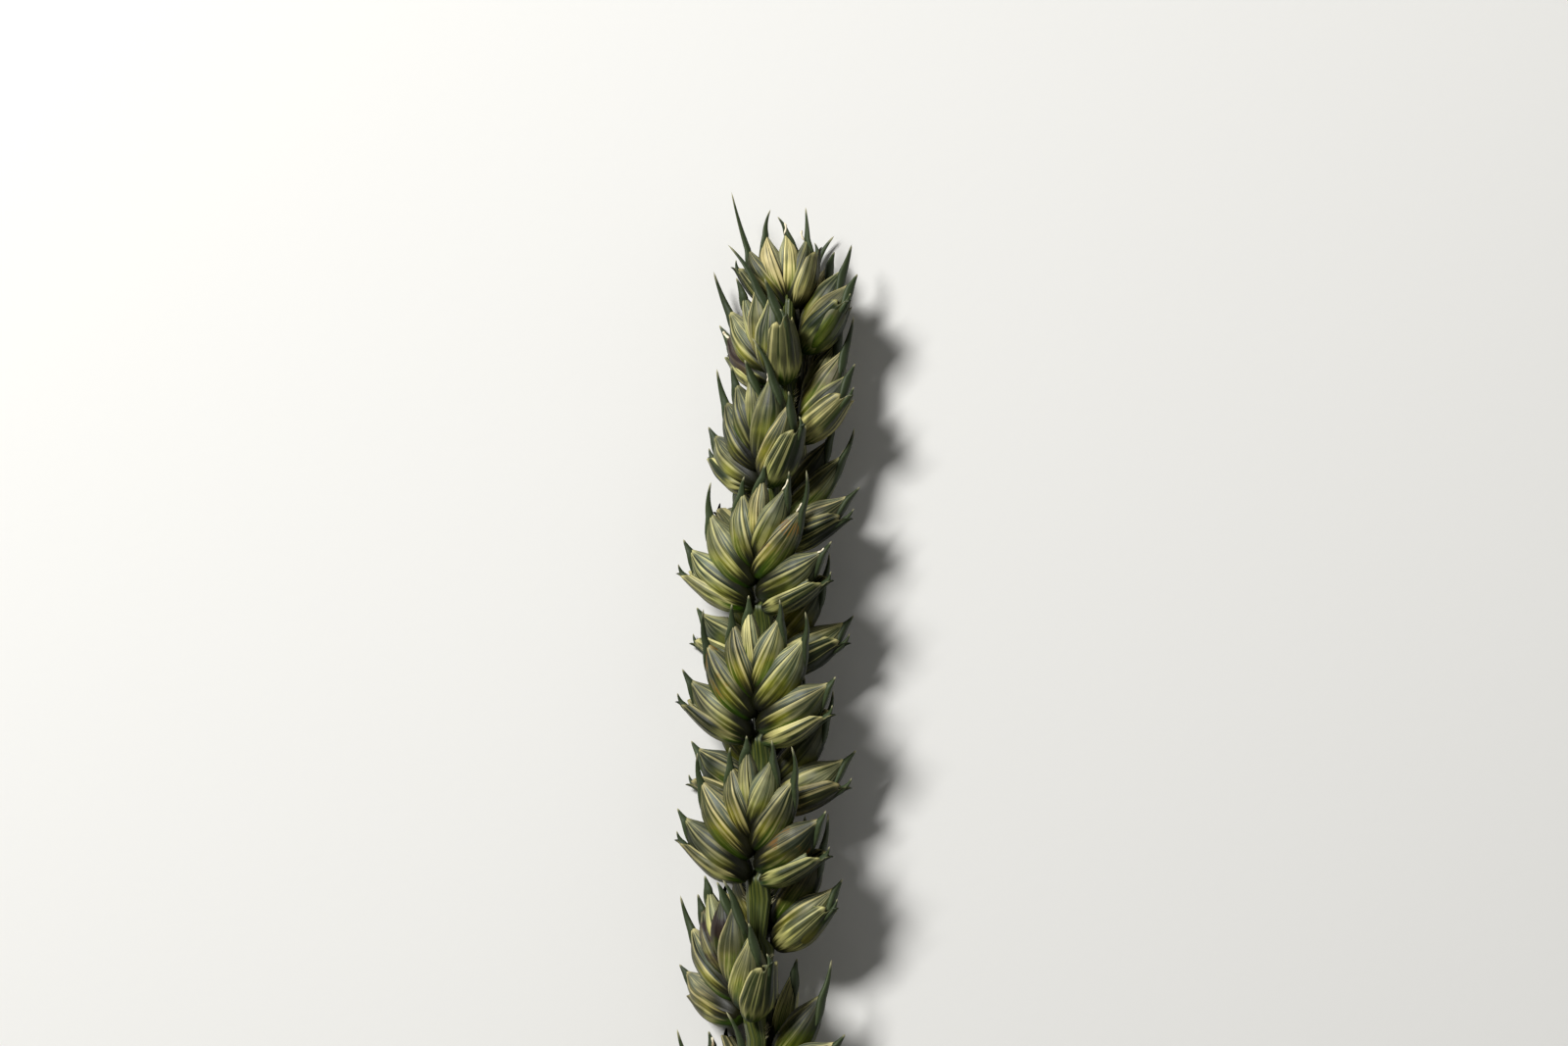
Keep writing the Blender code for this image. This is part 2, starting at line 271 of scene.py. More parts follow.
class WheatEarColours(PropertyGroup):
    # Foot: painted shade, the dark olive that stands for the shade at the foot of each husk between its neighbours
    foot: colour("Foot", "Shaded foot of a husk", "#2a2b08")
    belly: colour("Belly", "Plump lower half of a husk", "#8a8a34")
    shoulder: colour("Shoulder", "Upper half of a husk", "#444c2a")
    wax: colour("Wax", "Bluish bloom on the upper half of a husk", "#687062")
    vivid: colour("Covered green", "Strong green where a neighbour covered the husk", "#4d6a12")
    cream: colour("Cream", "Dry margins and tips", "#d0c99e")
    # Nerve colour: the real nerves and stripes, and also the painted shade in the groove beside a lemma's margin
    nerve: colour("Nerve", "Nerves and stripes", "#1e300a")
    awnlet: colour("Awnlet", "Awnlets and teeth", "#303b22")
    blotch: colour("Blotch", "Purple-brown spots", "#3e2a2c")
    mauve: colour("Mauve", "Greyish purple tinge of some shoulders", "#5e5458")
    rust: colour("Rust", "Orange-brown spots", "#8e6a34")
    anther: colour("Anther", "Withered anthers", "#e6dcc0")
    # Rachis: its own dark green, deepened further with painted shade that stands for the shadow between the spikelets
    rachis: colour("Rachis", "Rachis between spikelets", "#202e12")
    straw: colour("Straw", "Cut straw", "#767c46")
    floor: colour("Floor", "Plain floor", "#dddcd8")


# Layout of the ear, by the model's formulas


def internode(from_tip):
    """Length of rachis below the spikelet that is from_tip places from the tip one."""
    swell = math.sin(math.pi * (from_tip + SWELL_START) / SWELL_PLACES) ** SWELL_POWER
    return LONGEST_INTERNODE * (SHORTEST_SHARE + (1 - SHORTEST_SHARE) * swell)


RACHIS_LENGTH = sum(internode(place) for place in range(SPIKELETS - 1))


def fade(distance, reach, power=2):
    """1 at no distance, falling to nearly 0 past the reach; a higher power makes the fall steeper."""
    return math.exp(-(abs(distance / reach) ** power))


def turn_at(y):
    """How far the front row has turned to the left of straight up, at height y on the rachis."""
    below_tip = RACHIS_LENGTH - y
    tip = TIP_TURN * fade(below_tip, TIP_TURN_REACH, 4)
    local = LOCAL_TURN * fade(below_tip - LOCAL_TURN_BELOW_TIP, LOCAL_TURN_REACH)
    return BASE_TURN + tip + local + FOOT_TURN * fade(y, FOOT_TURN_REACH, 4)


def settle(z):
    """Points near or under the floor are pressed smoothly up towards its surface, and end on it."""
    if z > TABLE_REACH:
        return z
    room = TABLE_REACH + PRESSED
    return max(0.0, room * math.exp((z - TABLE_REACH) / room) - PRESSED)


def place_of_model():
    """Where the straight ear's foot has come to lie: the model is centred on its box, and its straw's end shows it."""
    low = cad_box[0]
    end = [vertex.co.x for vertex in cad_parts[NODE].data.vertices if vertex.co.y < low[1] + 0.1 * MM]
    return Vector(((min(end) + max(end)) / 2, low[1] + STRAW_LENGTH, 0))


FOOT_PLACE = place_of_model()


def bow(along):
    """The ear bows to its right, most of all below its tip."""
    up = max(0.0, along / RACHIS_LENGTH)
    share = min(1.0, max(0.0, (up - TOP_SHIFT_FROM) / (TOP_SHIFT_TO - TOP_SHIFT_FROM)))
    return BOW * min(1.0, up) + TOP_SHIFT * share ** 2 * (3 - 2 * share)


def on_table(point, turn):
    """From the straight ear (across the fan, along the rachis, out from the front row) to where it lies."""
    across, along, out = point
    x = across * math.cos(turn) - out * math.sin(turn) + bow(along)
    sinking = TIP_SINKING * max(0.0, along / RACHIS_LENGTH) ** 2
    z = across * math.sin(turn) + out * math.cos(turn) + AXIS_HEIGHT - sinking
    return FOOT_PLACE + Vector((x, along, settle(z)))


def spikelets(sizes):
    """Where each spikelet sits and how it is opened, from the tip down."""
    height = RACHIS_LENGTH
    for place in range(SPIKELETS):
        below_tip = RACHIS_LENGTH - height
        above_base = SPIKELETS - 1 - place
        row = 1 if place % 2 == 0 else -1
        near_tip = fade(below_tip, TIP_REACH)
        size = (1 - FOOT_STUNTING * math.exp(-above_base / FOOT_STUNTING_REACH)) * (1 - TIP_SHRINKING * near_tip)
        lean = FAN_LEAN + TIP_LEAN * fade(below_tip, LEAN_REACH) * (1 if row > 0 else BACK_ROW_LEAN)
        spread = WIDE_ANGLE - TIP_NARROWING * fade(below_tip, SPREAD_REACH) + ODD_SPREAD.get(place, 0.0)
        turn = turn_at(height)
        roll = (FRONT_ROLL + TURNED_ROLL * (BASE_TURN - turn)) * (row > 0)
        most = 7 if 4 < place < 13 and row > 0 else 6 if 2 < place < 13 else 5
        florets = min(2 + above_base, most)
        step = RACHILLA_STEP * (1 - TIP_STEP_SHRINKING * near_tip)
        awn = sizes.awnlet + LONGER_TIP_AWN * fade(below_tip, LEAN_REACH) * (row > 0)
        plane = 0.0
        if place == 0:
            size, lean, spread, roll, plane = TERMINAL_SIZE, 0.0, TERMINAL_SPREAD, TERMINAL_ROLL, TERMINAL_PLANE
            florets, step = TERMINAL_FLORETS, TERMINAL_STEP
        yield Spikelet(place, row, height - ODD_DROP.get(place, 0.0), turn, size, lean, spread, roll, florets, step,
                       plane, awn, 1 - TIP_CLOSER * near_tip)
        height -= internode(place)


def husks(spikelet, sizes, draw):
    """The two glumes and the florets of one spikelet, in pairs that stand closer to its middle going up."""
    size = spikelet.size
    closing = 1 - TURNED_CLOSING * (spikelet.turn - BASE_TURN) / TIP_TURN * (spikelet.number > 0)
    open_by = {-1: spikelet.spread, 1: spikelet.spread * closing}
    found = []
    terminal = spikelet.number == 0
    for side in (-1, 1):
        opening = (TIP_GLUME_OPENING[side > 0] if terminal else GLUME_OPENING) - 1
        angle = open_by[side] + spikelet.spread * opening + draw.uniform(-GLUME_JITTER, GLUME_JITTER)
        root = (GLUME_ROOT + CLOSED_GLUME_ROOT * (1 - closing) * (side > 0)) * size
        found.append(Husk(True, side, root, GLUME_FOOT * size, angle + GLUME_ANGLES[0], angle + GLUME_ANGLES[1],
                          sizes.glume * size, GLUME_DEPTH * size, GLUME_WIDTH * size, GLUME_BLUNTNESS, GLUME_KEEL,
                          TOOTH * size, TOOTH_TURN))
    for floret in range(spikelet.florets):
        side = 1 if floret % 2 else -1
        last = floret == spikelet.florets - 1
        pair = 3 if last and floret > 3 else floret // 2
        angle = open_by[side] * (TIP_PAIR_ANGLE if terminal else PAIR_ANGLE)[pair]
        angle += draw.uniform(-LEMMA_JITTER, LEMMA_JITTER)
        curl = PAIR_CURL[pair]
        shrink = size * draw.uniform(*LEMMA_SIZES)
        foot = (LEMMA_FOOT + spikelet.step * floret) * size
        awn, plump = spikelet.awn * PAIR_AWN[pair], shrink
        if terminal:
            awn = spikelet.awn * TIP_PAIR_AWN[pair] * TIP_SIDE_AWN[side]
            plump = shrink * TIP_SLIMNESS
        found.append(Husk(False, side, PAIR_ROOT[pair] * size, foot, angle + curl, angle - curl,
                          sizes.lemma * PAIR_LENGTH[pair] * shrink, PAIR_DEPTH[pair] * MM * plump,
                          PAIR_WIDTH[pair] * MM * plump, LEMMA_BLUNTNESS, LEMMA_KEEL, awn * draw.uniform(*AWN_SIZES),
                          PAIR_AWN_TURN[pair]))
    return found


def layout(sizes):
    """Every spikelet with its husks, with the same draws in the same order as the model."""
    draw = random.Random(SEED)
    return [(spikelet, husks(spikelet, sizes, draw)) for spikelet in spikelets(sizes)]


def fan_to_ear(point, spikelet):
    """From a spikelet's own fan to the straight ear."""
    across, up, out = point
    roll, lean, plane = spikelet.roll, spikelet.lean, spikelet.plane
    across, up = across * math.cos(roll) + up * math.sin(roll), up * math.cos(roll) - across * math.sin(roll)
    if plane:
        across, out = across * math.cos(plane) - out * math.sin(plane), across * math.sin(plane) + out * math.cos(plane)
        return across, spikelet.height + up, out
    along = up * math.cos(lean) - out * math.sin(lean)
    off = BASE_OUT * spikelet.near + up * math.sin(lean) + out * math.cos(lean)
    return spikelet.row * across, spikelet.height + along, spikelet.row * off


# Husks


def row_of(vertex, rows):
    """Row of a vertex of a ball, from 0 at its lowest point."""
    return round(rows * math.acos(max(-1.0, min(1.0, -vertex.co.z))) / math.pi)


def swelling(along, blunt):
    """Share of a husk's full cross-section, from its narrow foot to its tip, which is blunt by that share."""
    plump = math.sin(math.pi * (0.05 + 0.88 * along ** 0.8)) ** 0.8
    return plump + (blunt - LEMMA_BLUNTNESS) * along ** 4


def husk_frame(husk, along):
    """Middle of the husk in its fan, the way it grows there, and the way its back faces."""
    start, turned = math.radians(husk.start_angle), math.radians(husk.end_angle - husk.start_angle)
    angle = start + turned * along
    across = husk.side * (husk.root + (math.cos(start) - math.cos(angle)) / turned * husk.length)
    up = (math.sin(angle) - math.sin(start)) / turned * husk.length
    grows = Vector((husk.side * math.sin(angle), math.cos(angle), 0))
    back = Vector((husk.side * math.cos(angle), -math.sin(angle), 0))
    middle = Vector((across, husk.foot + up, 0)) + back * husk.depth * min(husk.keel, LEMMA_KEEL) * along ** 4
    return middle, grows, back


def column_angle(column, margin):
    """Angle round the husk from its keel, with close columns where the margin steps down."""
    if column <= MARGIN_COLUMN:
        return margin * column / MARGIN_COLUMN
    if column == MARGIN_COLUMN + 1:
        return margin + math.radians(2.5)
    inner = margin + math.radians(8)
    return inner + (math.pi - inner) * (column - MARGIN_COLUMN - 2) / (HALF_COLUMNS - MARGIN_COLUMN - 2)


def relief(column, along, sizes, glume):
    """How far keel, nerves, margin and palea stand out of the plain husk."""
    grown = min(1.0, 4 * along)
    if column <= MARGIN_COLUMN:
        wave = 0.5 + 0.5 * math.cos(2 * math.pi * column / NERVE_SPACING)
        nerves = sizes.nerve * wave ** 2 * (1.7 if glume else 0.7)
        keel = 2.4 * sizes.nerve * math.exp(-((column / 1.4) ** 2)) * along
        return (nerves * (1 - 0.4 * along) + keel) * grown
    palea_keel = 0.5 * sizes.margin * math.exp(-((column - HALF_COLUMNS + 3) ** 2))
    groove = 0.35 * sizes.margin * (column == MARGIN_COLUMN + 1)
    return (palea_keel - groove - sizes.margin * (1.5 if glume else 1.0)) * grown


def beak(along):
    """A lemma closes over its palea in a narrow beak."""
    return 1 - 0.8 * max(0.0, (along - 0.64) / 0.36) ** 1.9


def glume_top(angle, margin):
    """Where the glume's rim ends: a tooth at the keel, a notch beside it, a shoulder, and a slope to its margins."""
    angle = math.degrees(angle)
    tooth = 0.07 * math.exp(-((angle / 18) ** 2))
    notch = 0.07 * math.exp(-(((angle - 34) / 11) ** 2))
    return 1 + tooth - notch - 0.13 * (angle / math.degrees(margin)) ** 3


def glume_station(row, angle, margin):
    """(share of the length, share of the cross-section) of a row: up the outside, over the rim and down inside."""
    top = glume_top(min(angle, margin), margin)
    if row <= GLUME_ROWS:
        return top * row / GLUME_ROWS, 1.0
    inside = (row - GLUME_ROWS) / GLUME_INNER_ROWS
    return top - 0.3 * inside ** 1.3, max(0.0, (0.9 - 0.25 * inside) * (1 - inside ** 5))


def lemma_station(row):
    """(share of the length, share of the cross-section) of a row."""
    if row in (0, LEMMA_ROWS):
        return row / LEMMA_ROWS, 0.0
    along = (row - 0.6) / (LEMMA_ROWS - 1.2)
    return along, beak(along)


def dryness(spikelet, floret, draw):
    """How far a floret has dried to cream: those in the middle of the tip spikelet most of all."""
    if spikelet.number == 0:
        return TIP_DRYNESS[floret]
    if floret > 3 and floret == spikelet.florets - 1:
        return CENTRE_DRYNESS * draw.uniform(0.6, 1.3)
    return draw.uniform(0.0, 0.3)


def husk_shell(mesh, layers, husk, spikelet, floret, sizes, draw):
    """A fine ball whose rows are strung along the husk, as its lemma and palea, or as a glume with an open top."""
    rows = GLUME_ROWS + GLUME_INNER_ROWS if husk.glume else LEMMA_ROWS
    made = bmesh.ops.create_uvsphere(mesh, u_segments=2 * HALF_COLUMNS, v_segments=rows, radius=1)["verts"]
    foot_margin = math.radians(FOOT_MARGIN[husk.glume] + draw.uniform(-FOOT_MARGIN_JITTER, FOOT_MARGIN_JITTER))
    tip_margin = math.radians(TIP_MARGIN[husk.glume] + draw.uniform(-TIP_MARGIN_JITTER, TIP_MARGIN_JITTER))
    shade = Vector((draw.random(), draw.random(), draw.random()))
    dry = draw.uniform(0.0, 0.3) if husk.glume else dryness(spikelet, floret, draw)
    blotched, rusty = ((spikelet.number, floret) in found for found in (BLOTCHED, RUSTY))
    stain = Vector((1.0 if blotched else draw.uniform(0, 0.9), 1.0 if rusty else draw.uniform(0, 0.92),
                    draw.random()))
    if husk.glume:
        stain.x, stain.y = min(stain.x, 0.5), min(stain.y, 0.5)
    drift = Vector((draw.uniform(0, 50), draw.uniform(0, 50), draw.uniform(0, 50)))
    for vertex in made:
        row = row_of(vertex, rows)
        signed = round(2 * HALF_COLUMNS * math.atan2(vertex.co.y, vertex.co.x) / (2 * math.pi))
        column = abs(signed)
        margin = foot_margin + (tip_margin - foot_margin) * row / rows
        around = column_angle(column, margin)
        along, share = glume_station(row, around, margin) if husk.glume else lemma_station(row)
        middle, grows, back = husk_frame(husk, along)
        swell = swelling(min(along, 1.0), husk.blunt) * share
        deep = math.cos(around) * (1.0 if math.cos(around) > 0 else 0.8)
        side = math.copysign(math.sin(around), signed)
        point = middle + (back * deep * husk.depth + UP * side * husk.width) * swell / 2
        outward = back * math.cos(around) + UP * side
        uneven = sizes.unevenness * noise.noise(point / UNEVEN_PATCH + drift) * min(1.0, 3 * swell)
        point += outward * (relief(column, along, sizes, husk.glume) * min(1.0, 2 * swell) + uneven)
        vertex.co = on_table(fan_to_ear(point, spikelet), spikelet.turn)
        inner = (around - margin) / (math.pi - margin)
        vertex[layers["place"]] = Vector((around / margin if column <= MARGIN_COLUMN else 1 + inner, along, dry))
        vertex[layers["shade"]] = shade
        vertex[layers["stain"]] = stain
    return made


def horn_path(husk, share):
    """Middle of the awnlet or tooth: it leaves the keel low on the husk and bends out to its tip."""
    rooted, leaves = (0.74, 0.97) if husk.glume else (0.6, 0.95)
    along = rooted + (leaves - rooted) * min(1.0, share / HORN_ROOTED)
    middle, grows, back = husk_frame(husk, along)
    swell = swelling(along, husk.blunt) * (1.0 if husk.glume else beak(along))
    base = middle + back * (husk.depth * swell / 2 - HORN_SUNK)
    if share <= HORN_ROOTED:
        return base
    end, grows, back = husk_frame(husk, 1.0)
    end += back * husk.depth * (husk.keel - min(husk.keel, LEMMA_KEEL))
    turned = math.radians(husk.end_angle - husk.awn_turn)
    tip = end + Vector((husk.side * math.sin(turned), math.cos(turned), 0.1)) * husk.awn
    free = (share - HORN_ROOTED) / (1 - HORN_ROOTED)
    bend = base + grows * (tip - base).length * 0.45
    return base * (1 - free) ** 2 + bend * 2 * free * (1 - free) + tip * free ** 2


def horn(mesh, layers, husk, spikelet, draw):
    """An awnlet, or a glume's tooth: a three-edged horn that grows out of the keel."""
    made = bmesh.ops.create_uvsphere(mesh, u_segments=HORN_SIDES, v_segments=HORN_ROWS, radius=1)["verts"]
    thick = HORN_RADIUS[husk.glume] * spikelet.size
    shade = Vector((draw.random(), draw.random(), draw.random()))
    for vertex in made:
        share = row_of(vertex, HORN_ROWS) / HORN_ROWS
        around = math.atan2(vertex.co.y, vertex.co.x)
        ahead, behind = horn_path(husk, min(1.0, share + 0.03)), horn_path(husk, max(0.0, share - 0.03))
        outward = (ahead - behind).normalized().cross(UP) * -husk.side
        thin = 1 - 0.86 * max(0.0, (share - 0.3) / 0.7) ** 0.9
        radius = thick * min(1.0, share / 0.22) ** 0.7 * thin * (share < 1) * (1 + 0.14 * math.cos(3 * around))
        edge = UP * math.sin(around) + outward * math.cos(around) * 0.85
        point = horn_path(husk, share) + edge * radius
        vertex.co = on_table(fan_to_ear(point, spikelet), spikelet.turn)
        vertex[layers["place"]] = Vector((abs(around) / math.pi, share, 1))
        vertex[layers["shade"]] = shade
        vertex[layers["stain"]] = Vector((0, 0, 0))
    return made


def new_layers(mesh):
    """Attributes that the materials read: place on the husk, its random shades, and its spots."""
    return {name: mesh.verts.layers.float_vector.new(name) for name in ("place", "shade", "stain")}


def new_object(name, mesh, *materials):
    """Turns a bmesh into an object of the scene."""
    data = bpy.data.meshes.new(name)
    mesh.to_mesh(data)
    mesh.free()
    for material in materials:
        data.materials.append(material)
    made = bpy.data.objects.new(name, data)
    bpy.context.scene.collection.objects.link(made)
    return made


def finish_piece(name, mesh, *materials):
    """Turns a bmesh in its place into a smooth piece of the ear that stands for the model's one solid."""
    mesh.normal_update()
    bmesh.ops.recalc_face_normals(mesh, faces=mesh.faces)
    for face in mesh.faces:
        face.smooth = True
    piece = new_object(name, mesh, *materials)
    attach(piece, "root")
    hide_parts(NODE)


def paint(verts, index):
    for face in {face for vertex in verts for face in vertex.link_faces}:
        face.material_index = index


# Materials


def add(tree, kind, settings=None, **links):
    """Adds a node: settings go on the node, and links name its inputs (i0 is the first), by value or by output."""
    made = tree.nodes.new(kind)
    for name, value in (settings or {}).items():
        setattr(made, name, value)
    for name, value in links.items():
        numbered = name[0] == "i" and name[1:].isdigit()
        socket = made.inputs[int(name[1:]) if numbered else name]
        if isinstance(value, bpy.types.NodeSocket):
            tree.links.new(value, socket)
        else:
            socket.default_value = value
    return made


def new_material(name, roughness, sheen=0.0):
    material = bpy.data.materials.new(name)
    material.use_nodes = True
    tree = material.node_tree
    shader = tree.nodes["Principled BSDF"]
    shader.inputs["Roughness"].default_value = roughness
    shader.inputs["IOR"].default_value = 1.45
    shader.inputs["Specular IOR Level"].default_value = 0.3
    if sheen:
        shader.inputs["Sheen Weight"].default_value = sheen
        shader.inputs["Sheen Roughness"].default_value = 0.4
    return material, tree, shader


def maths(tree, operation, first, second=0.0, third=0.0):
    return add(tree, "ShaderNodeMath", {"operation": operation}, i0=first, i1=second, i2=third).outputs[0]


def band(tree, value, low, high):
    """0 below low and 1 above high, or the other way round when high is lower, with a smooth step between."""
    node = add(tree, "ShaderNodeMapRange", {"interpolation_type": "SMOOTHSTEP"}, Value=value)
    first, last = (low, high) if low < high else (high, low)
    node.inputs["From Min"].default_value, node.inputs["From Max"].default_value = first, last
    node.inputs["To Min"].default_value, node.inputs["To Max"].default_value = (0, 1) if low < high else (1, 0)
    return node.outputs[0]


def blend(tree, share, first, second):
    node = add(tree, "ShaderNodeMix", {"data_type": "RGBA"}, i0=share)
    for socket, value in ((node.inputs[6], first), (node.inputs[7], second)):
        if isinstance(value, bpy.types.NodeSocket):
            tree.links.new(value, socket)
        else:
            socket.default_value = (*value, 1)
    return node.outputs[2]


def times(tree, *shares):
    product = shares[0]
    for share in shares[1:]:
        product = maths(tree, "MULTIPLY", product, share)
    return product


def texture(tree, place, scale, detail):
    """Noise between 0 and 1 at a place."""
    return add(tree, "ShaderNodeTexNoise", Vector=place, Scale=scale, Detail=detail).outputs["Fac"]


def stretched(tree, across, along, shift=0.0):
    """Place for noise that is stretched along a husk or the straw."""
    return add(tree, "ShaderNodeCombineXYZ", X=across, Y=along, Z=shift).outputs[0]


def object_place(tree):
    return add(tree, "ShaderNodeTexCoord").outputs["Object"]


def relief_of(tree, shader, height, strength, distance):
    """Fine bumps by a height between 0 and 1."""
    bump = add(tree, "ShaderNodeBump", Height=height, Strength=strength, Distance=distance)
    tree.links.new(bump.outputs[0], shader.inputs["Normal"])


def attribute_parts(tree, name):
    node = add(tree, "ShaderNodeAttribute", {"attribute_name": name})
    return add(tree, "ShaderNodeSeparateXYZ", i0=node.outputs["Vector"]).outputs


def husk_material(name, colours, glume):
    """Fresh husk: fleshy and yellow-green below, waxy and grey-green above, dark nerves and stripes, dry cream margins,
    painted shade at its foot.

    around is 0 at the keel, 1 at the margin and above 1 on the palea; along and up are 0 at the foot and 1 at the tip.
    """
    material, tree, shader = new_material(name, 0.5)
    around, along, dry = attribute_parts(tree, "place")
    tint, wax_draw, green_draw = attribute_parts(tree, "shade")
    blotch_draw, rust_draw, stripe_draw = attribute_parts(tree, "stain")
    # Streaks run up the husk, many times as long as they are wide
    streak_place = stretched(tree, times(tree, around, 14.0), times(tree, along, 1.6), times(tree, tint, 40.0))
    streaks = texture(tree, streak_place, 1.0, 3.0)
    broad_place = stretched(tree, times(tree, around, 6.0), times(tree, along, 1.2), times(tree, stripe_draw, 60.0))
    broad = texture(tree, broad_place, 1.0, 1.0)
    objects = object_place(tree)
    cloud, grain = texture(tree, objects, 420.0, 2.0), texture(tree, objects, 5200.0, 2.0)
    up = maths(tree, "ADD", along, times(tree, maths(tree, "SUBTRACT", streaks, 0.5), 0.5))
    # Painted shade: the foot of each husk is darkened with the dark olive foot colour, grading up into the belly
    body = blend(tree, band(tree, up, 0.1, 0.5), colours.foot, colours.belly)
    body = blend(tree, band(tree, up, 0.4, 0.66), body, colours.shoulder)
    slant = maths(tree, "ADD", up, times(tree, around, 0.3))
    vivid = times(tree, band(tree, around, 0.8, 0.62), band(tree, slant, 0.68, 0.64), band(tree, green_draw, 0.3, 0.5))
    body = blend(tree, times(tree, vivid, 0.7), body, colours.vivid)
    waxy = times(tree, band(tree, broad, 0.38, 0.6), band(tree, slant, 0.5, 0.85), band(tree, wax_draw, -0.5, 0.7))
    body = blend(tree, times(tree, waxy, 0.4 if glume else 0.85), body, colours.wax)
    tinged = times(tree, band(tree, blotch_draw, 0.45, 0.8), band(tree, broad, 0.44, 0.6), band(tree, up, 0.4, 0.7))
    body = blend(tree, times(tree, tinged, 0.5), body, colours.mauve)
    pale = times(tree, band(tree, streaks, 0.5, 0.66), band(tree, around, 0.3, 0.6), band(tree, up, 0.1, 0.35))
    body = blend(tree, times(tree, pale, 0.45), body, colours.cream)
    if glume:
        stripe_place = stretched(tree, times(tree, around, 12.0), times(tree, along, 0.6), times(tree, tint, 90.0))
        stripes = texture(tree, stripe_place, 1.0, 1.0)
        body = blend(tree, times(tree, band(tree, up, 0.1, 0.3), 0.5), body, colours.cream)
        striped = times(tree, band(tree, stripes, 0.54, 0.47), band(tree, up, 0.25, 0.5), 0.92)
        body = blend(tree, striped, body, colours.nerve)
    dark = times(tree, band(tree, streaks, 0.5, 0.38), band(tree, up, 0.25, 0.6))
    body = blend(tree, times(tree, dark, 0.2 if glume else 0.7), body, colours.nerve)
    # Nerves run every quarter of the way from keel to margin
    wave = maths(tree, "COSINE", times(tree, around, 2 * math.pi * MARGIN_COLUMN / NERVE_SPACING))
    edge = maths(tree, "ADD", 0.82 if not glume else 0.5, times(tree, broad, -0.3 if not glume else -1.3))
    line = band(tree, maths(tree, "SUBTRACT", wave, edge), 0.0, 0.25)
    shown = times(tree, line, band(tree, up, 0.22, 0.5), band(tree, around, 1.0, 0.9))
    if not glume:
        shown = times(tree, shown, band(tree, broad, 0.42, 0.6))
    body = blend(tree, times(tree, shown, 0.9 if glume else 0.55), body, colours.nerve)
    dried = times(tree, dry, band(tree, along, 0.1, 0.45), band(tree, streaks, 0.3, 0.55))
    body = blend(tree, dried, body, colours.cream)
    # Palea, margin and the groove beside it, darkened with painted shade
    palea = blend(tree, times(tree, band(tree, streaks, 0.4, 0.66), 0.75), colours.wax, colours.cream)
    # Painted shade darkens the palea's foot too
    palea = blend(tree, band(tree, along, 0.25, 0.6), colours.foot, palea)
    body = blend(tree, band(tree, around, 1.04, 1.08), body, palea)
    # Painted shade: the nerve colour darkens the groove between the lemma's margin and its palea, more on some husks
    groove = times(tree, band(tree, around, 0.99, 1.02), band(tree, around, 1.15, 1.06), band(tree, along, 0.1, 0.3))
    strength = maths(tree, "ADD", 0.25, times(tree, band(tree, stripe_draw, 0.2, 0.9), 0.7))
    body = blend(tree, times(tree, groove, strength), body, colours.nerve)
    margin = times(tree, band(tree, around, 0.89, 0.95), band(tree, around, 1.02, 0.99), band(tree, along, 0.15, 0.5))
    body = blend(tree, times(tree, margin, 0.75), body, colours.cream)
    keel = times(tree, band(tree, around, 0.22, 0.08), band(tree, up, 0.3, 0.75))
    body = blend(tree, times(tree, keel, 0.8), body, colours.awnlet)
    tip = times(tree, band(tree, along, 0.88, 0.97), band(tree, around, 0.15, 0.4))
    body = blend(tree, times(tree, tip, 0.6 if glume else 0.8), body, colours.cream)
    # Spots show only on the husks whose draw is near 1
    spotted = times(tree, band(tree, cloud, 0.38, 0.52), band(tree, blotch_draw, 0.92, 0.96),
                    band(tree, along, 0.15, 0.4))
    body = blend(tree, times(tree, spotted, 0.85), body, colours.blotch)
    rusty = times(tree, band(tree, along, 0.3, 0.5), band(tree, cloud, 0.48, 0.58),
                  band(tree, rust_draw, 0.93, 0.97), band(tree, streaks, 0.45, 0.6))
    body = blend(tree, times(tree, rusty, 0.85), body, colours.rust)
    value = maths(tree, "ADD", 0.54 if glume else 0.42, times(tree, tint, 0.34))
    value = maths(tree, "ADD", value, times(tree, dry, 0.3))
    value = maths(tree, "ADD", value, times(tree, band(tree, cloud, 0.36, 0.64), 0.34))
    hue = maths(tree, "ADD", 0.488, times(tree, wax_draw, 0.024))
    body = add(tree, "ShaderNodeHueSaturation", Hue=hue, Saturation=1.12, Value=value, Color=body).outputs[0]
    body = add(tree, "ShaderNodeGamma", Color=body, Gamma=DEEPENING).outputs[0]
    tree.links.new(body, shader.inputs["Base Color"])
    tree.links.new(maths(tree, "ADD", 0.34, times(tree, streaks, 0.3)), shader.inputs["Roughness"])
    relief_of(tree, shader, maths(tree, "ADD", streaks, times(tree, grain, 0.35)), 0.45, 0.06 * MM)
    return material


def awnlet_material(colours):
    """Awnlet: a stiff green horn, rough to the touch, with paler edges and a dry tip."""
    material, tree, shader = new_material("rough green awnlet", 0.55)
    around, along, _ = attribute_parts(tree, "place")
    tint, _, _ = attribute_parts(tree, "shade")
    grain = texture(tree, object_place(tree), 3500.0, 2.0)
    edges = band(tree, maths(tree, "COSINE", times(tree, around, 3 * math.pi)), 0.3, 0.95)
    body = blend(tree, times(tree, edges, band(tree, grain, 0.3, 0.7), 0.5), colours.awnlet, colours.shoulder)
    body = blend(tree, times(tree, band(tree, along, 0.82, 1.0), 0.5), body, colours.cream)
    value = maths(tree, "ADD", 0.8, times(tree, tint, 0.35))
    body = add(tree, "ShaderNodeHueSaturation", Value=value, Color=body).outputs[0]
    tree.links.new(body, shader.inputs["Base Color"])
    relief_of(tree, shader, grain, 0.5, 0.04 * MM)
    return material


